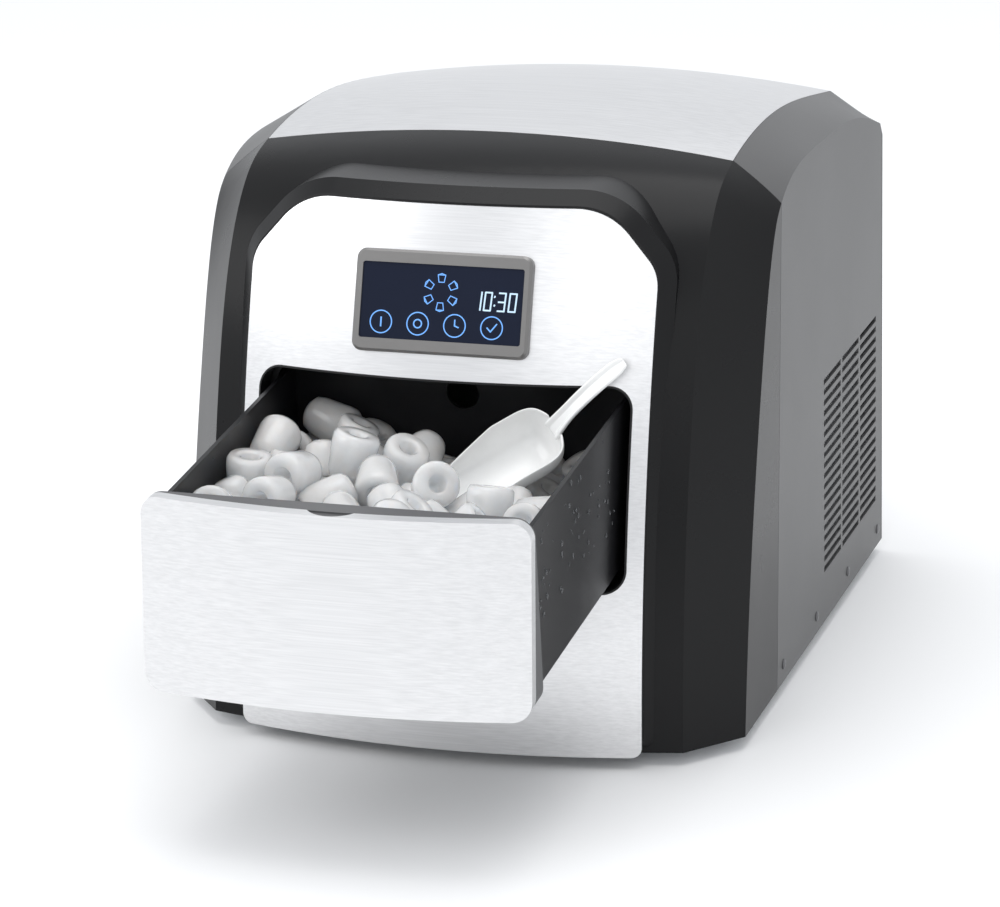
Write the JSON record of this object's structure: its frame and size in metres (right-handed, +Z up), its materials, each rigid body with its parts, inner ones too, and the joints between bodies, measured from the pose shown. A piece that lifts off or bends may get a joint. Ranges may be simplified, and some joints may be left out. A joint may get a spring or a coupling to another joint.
{
  "type": "countertop ice maker",
  "caption": "Countertop ice maker with a bowed steel front, touch display and a pull-out ice drawer holding ice and a scoop; freezing and cooling units inside.",
  "frame": {"origin": "on the worktop, under the middle of the outline with the drawer out", "axes": "+X user's right, +Y from the drawer front to the rear panel, +Z up"},
  "size_m": [0.3524, 0.6041, 0.3492],
  "materials": {
    "brushed_steel": "fine brushed stainless sheet",
    "black_moulding": "satin black moulding",
    "rim_moulding": "satin dark grey moulding",
    "pewter_moulding": "satin pewter grey moulding",
    "dark_glass": "dark tinted display window",
    "circuit_board": "solder-masked board",
    "grey_enamel": "fine satin enamel on sheet steel",
    "black_enamel": "black enamel",
    "zinc_steel": "zinc-plated sheet steel",
    "rubber": "moulded rubber",
    "grey_liner": "moulded liner",
    "white_plastic": "white food-safe moulding",
    "plated_metal": "plain aluminium",
    "copper": "drawn copper",
    "ice": "cloudy ice"
  },
  "bodies": {
    "cabinet": {"front_bezel": "black_moulding", "front_plate": "brushed_steel", "drawer_trim": "black_moulding", "display_surround": "pewter_moulding", "display_window": "dark_glass", "display_module": "black_moulding", "control_board": "circuit_board", "board_chips": "black_moulding", "top_panel": "brushed_steel", "side_panel_left": "grey_enamel", "side_panel_right": "grey_enamel", "rear_panel": "grey_enamel", "screws_left": "zinc_steel", "screws_right": "zinc_steel", "base_pan": "zinc_steel", "foot_front_left": "rubber", "foot_front_right": "rubber", "foot_rear_left": "rubber", "foot_rear_right": "rubber", "ice_bay": "grey_liner", "guide_left": "white_plastic", "guide_right": "white_plastic", "water_tank": "grey_liner", "tank_feet": "rubber", "water_pump": "black_moulding", "drain_tube": "grey_liner", "cord_gland": "rubber", "cold_plate": "plated_metal", "cold_fingers": "plated_metal", "cold_tube": "copper", "tray_bracket_left": "zinc_steel", "tray_bracket_right": "zinc_steel", "cold_plate_hanger": "white_plastic", "tray_motor": "black_moulding", "compressor": "black_enamel", "compressor_plate": "zinc_steel", "compressor_grommets": "rubber", "condenser": "plated_metal", "fan_shroud": "black_moulding", "fan_motor": "black_enamel", "filter_drier": "copper", "drier_bracket": "zinc_steel", "suction_pipe": "copper", "liquid_pipe": "copper"},
    "drawer": {"drawer_front_skin": "brushed_steel", "drawer_front_carrier": "rim_moulding", "drawer_box": "black_moulding", "runner_left": "white_plastic", "runner_right": "white_plastic", "ice_heap": "ice"},
    "scoop": {"ice_scoop": "white_plastic"},
    "tray": {"water_tray": "white_plastic"},
    "fan": {"fan_blades": "black_moulding"},
    "cap": {"drain_cap": "black_moulding"}
  },
  "joints": [
    {"name": "drawer_slide", "type": "slide", "parent": "cabinet", "child": "drawer", "axis": [0, 0.9969, 0.0785], "range_m": [0, 0.19]},
    {"name": "scoop_lift", "type": "slide", "parent": "cabinet", "child": "scoop", "axis": [0, -0.6157, 0.788], "range_m": [0, 0.23]},
    {"name": "tray_tip", "type": "hinge", "parent": "cabinet", "child": "tray", "pos_m": [0, 0.096, 0.297], "axis": [1, 0, 0], "range_deg": [0, 75]},
    {"name": "fan_spin", "type": "hinge", "parent": "cabinet", "child": "fan", "pos_m": [0.12, 0.208, 0.106], "axis": [1, 0, 0], "continuous": true},
    {"name": "drain_cap_turn", "type": "hinge", "parent": "cabinet", "child": "cap", "pos_m": [0.06, 0.298, 0.04], "axis": [0, 1, 0], "range_deg": [0, 360]}
  ],
  "couplings": [
    {"joint": "scoop_lift", "follows": "drawer_slide", "ratio": 1.2}
  ]
}
